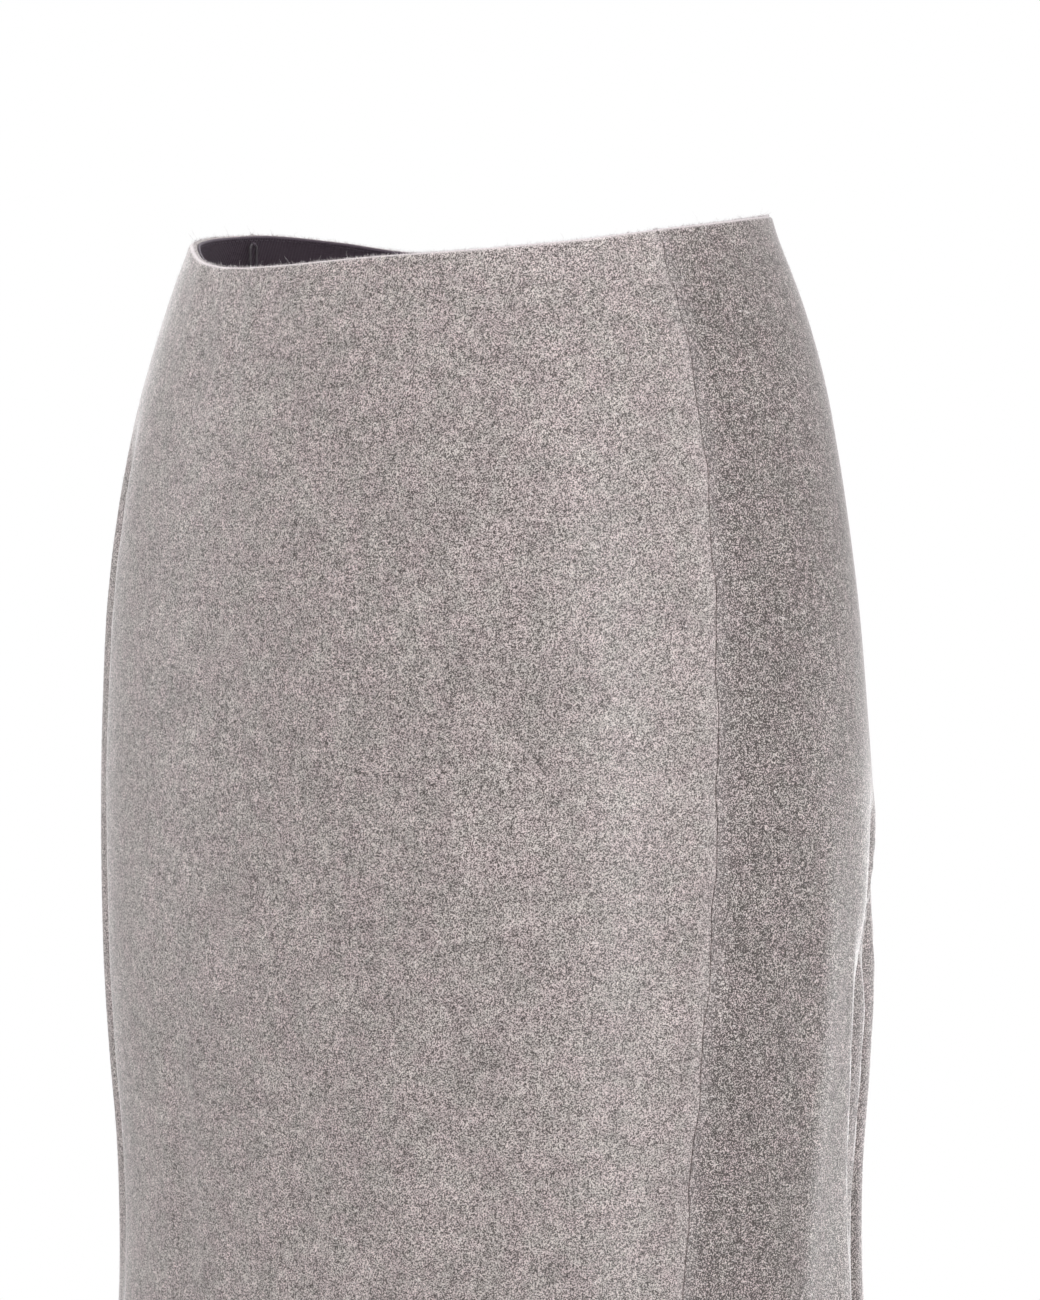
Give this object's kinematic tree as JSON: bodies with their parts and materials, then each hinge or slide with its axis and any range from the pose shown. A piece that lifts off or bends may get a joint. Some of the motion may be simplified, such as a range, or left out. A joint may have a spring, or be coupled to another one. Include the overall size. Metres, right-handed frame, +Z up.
{
  "type": "flared midi skirt",
  "caption": "Flared midi skirt in thick wool cloth, filled out: close waist with an inside ribbon facing, full hip, slim thigh, wide fluted hem and a concealed zip at centre back.",
  "frame": {"origin": "centre of the waist, level with the mean height of the cloth's top edge, where the wearer's waist holds the skirt up", "axes": "+Z up; the wearer's front faces -Y and the wearer's left is +X"},
  "size_m": [0.5212, 0.4063, 0.7681],
  "materials": {
    "grey_flannel": "soft, matt, brushed wool with light and dark flecks",
    "black_grosgrain": "ribbed, with a slight sheen",
    "grey_zip": "matt woven tape and nylon coil",
    "zip_metal": "satin grey enamel"
  },
  "bodies": {
    "skirt": {"front_panel": "grey_flannel", "back_panel_left": "grey_flannel", "back_panel_right": "grey_flannel", "waist_facing": "black_grosgrain", "hanger_loop_left": "black_grosgrain", "hanger_loop_right": "black_grosgrain", "zip_tape_left": "grey_zip", "zip_tape_right": "grey_zip", "zip_chain": "grey_zip", "zip_slider": "zip_metal"},
    "pull": {"zip_pull": "zip_metal"}
  },
  "joints": [
    {"name": "pull_swing", "type": "hinge", "parent": "skirt", "child": "pull", "pos_m": [0, 0.0969, -0.0031], "axis": [1, 0, 0], "range_deg": [0, 140]}
  ]
}
